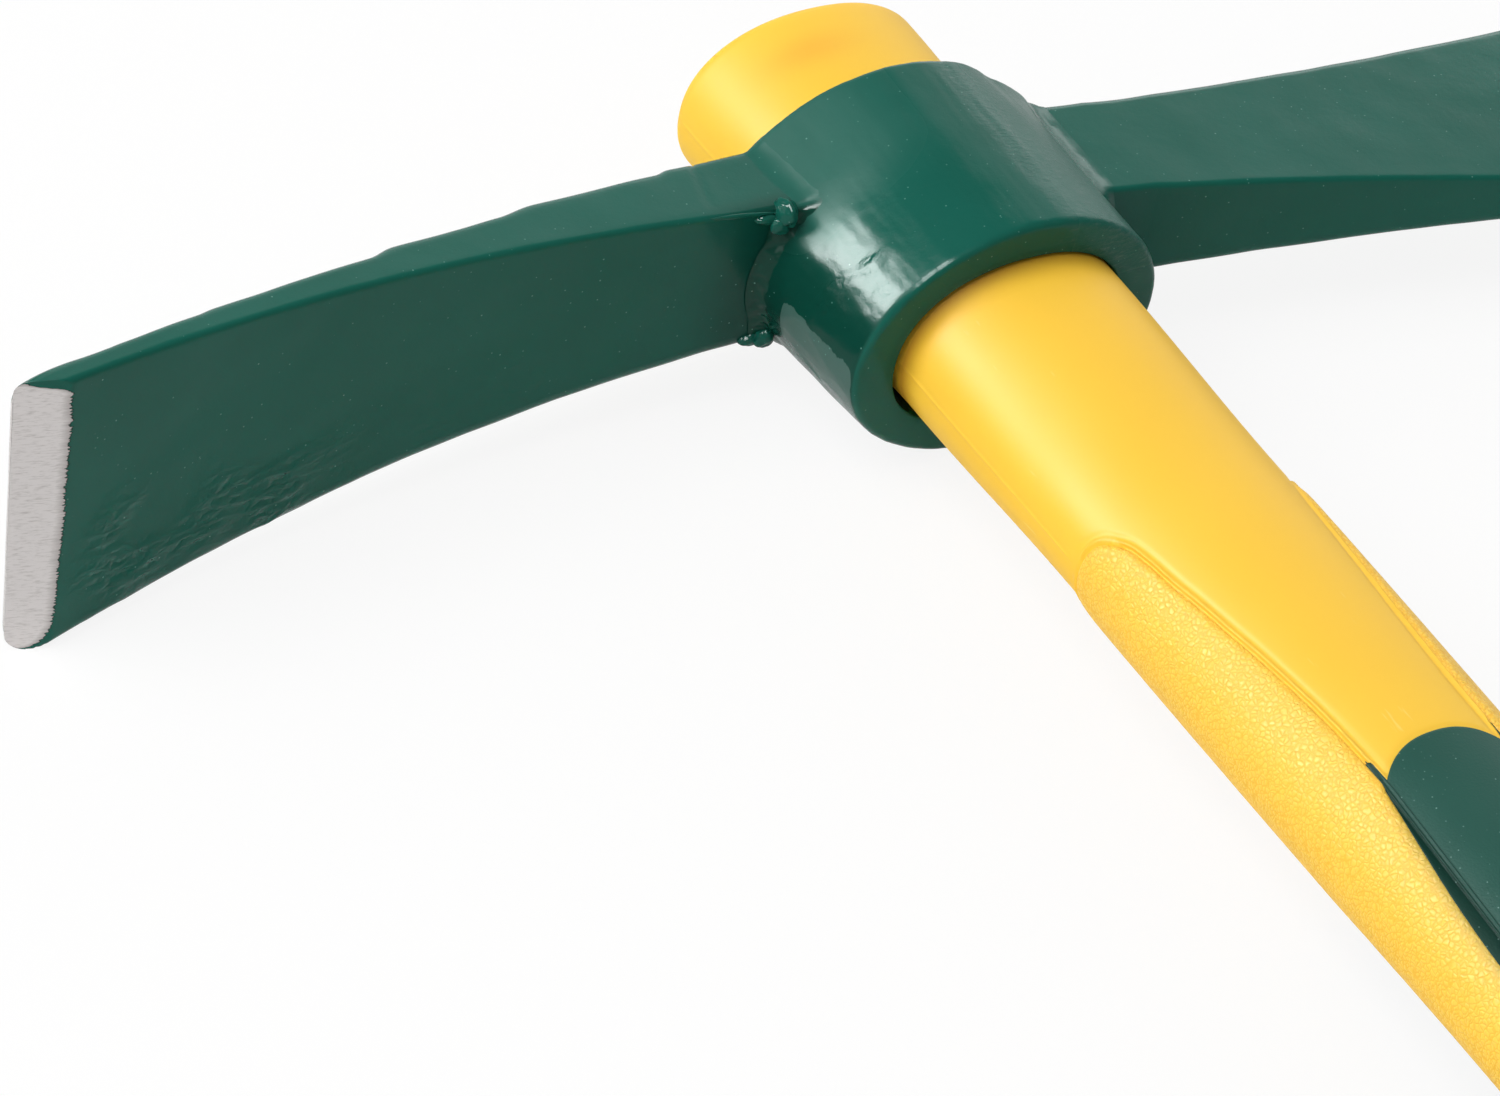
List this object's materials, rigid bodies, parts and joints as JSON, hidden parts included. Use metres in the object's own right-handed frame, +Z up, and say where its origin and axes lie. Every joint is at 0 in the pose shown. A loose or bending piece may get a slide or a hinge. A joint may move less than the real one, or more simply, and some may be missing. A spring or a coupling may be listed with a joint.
{
  "type": "hand mattock",
  "caption": "Short hand mattock: curved adze blade and flat axe blade welded to a tapered oval eye, on a flared moulded handle with a soft grip and a hanging hole.",
  "frame": {"origin": "middle of the outline on the ground that the tool lies on", "axes": "+X along the head towards the axe, +Y along the handle towards the head, +Z up from the side that it lies on"},
  "size_m": [0.268, 0.3904, 0.0468],
  "materials": {
    "green_enamel": "thick glossy dark green coating on forged steel, bare ground steel at the cutting edges",
    "yellow_plastic": "smooth satin moulded plastic",
    "yellow_rubber": "grained soft-touch moulding",
    "green_rubber": "smooth matt soft-touch moulding",
    "glass_fibre": "pultruded glass-fibre rod"
  },
  "bodies": {
    "root": {"eye_socket": "green_enamel", "adze_blade": "green_enamel", "axe_blade": "green_enamel", "adze_weld": "green_enamel", "axe_weld": "green_enamel", "handle_body": "yellow_plastic", "fibre_core": "glass_fibre", "adze_side_pad": "yellow_rubber", "axe_side_pad": "yellow_rubber", "grip_sleeve": "green_rubber"}
  },
  "joints": []
}
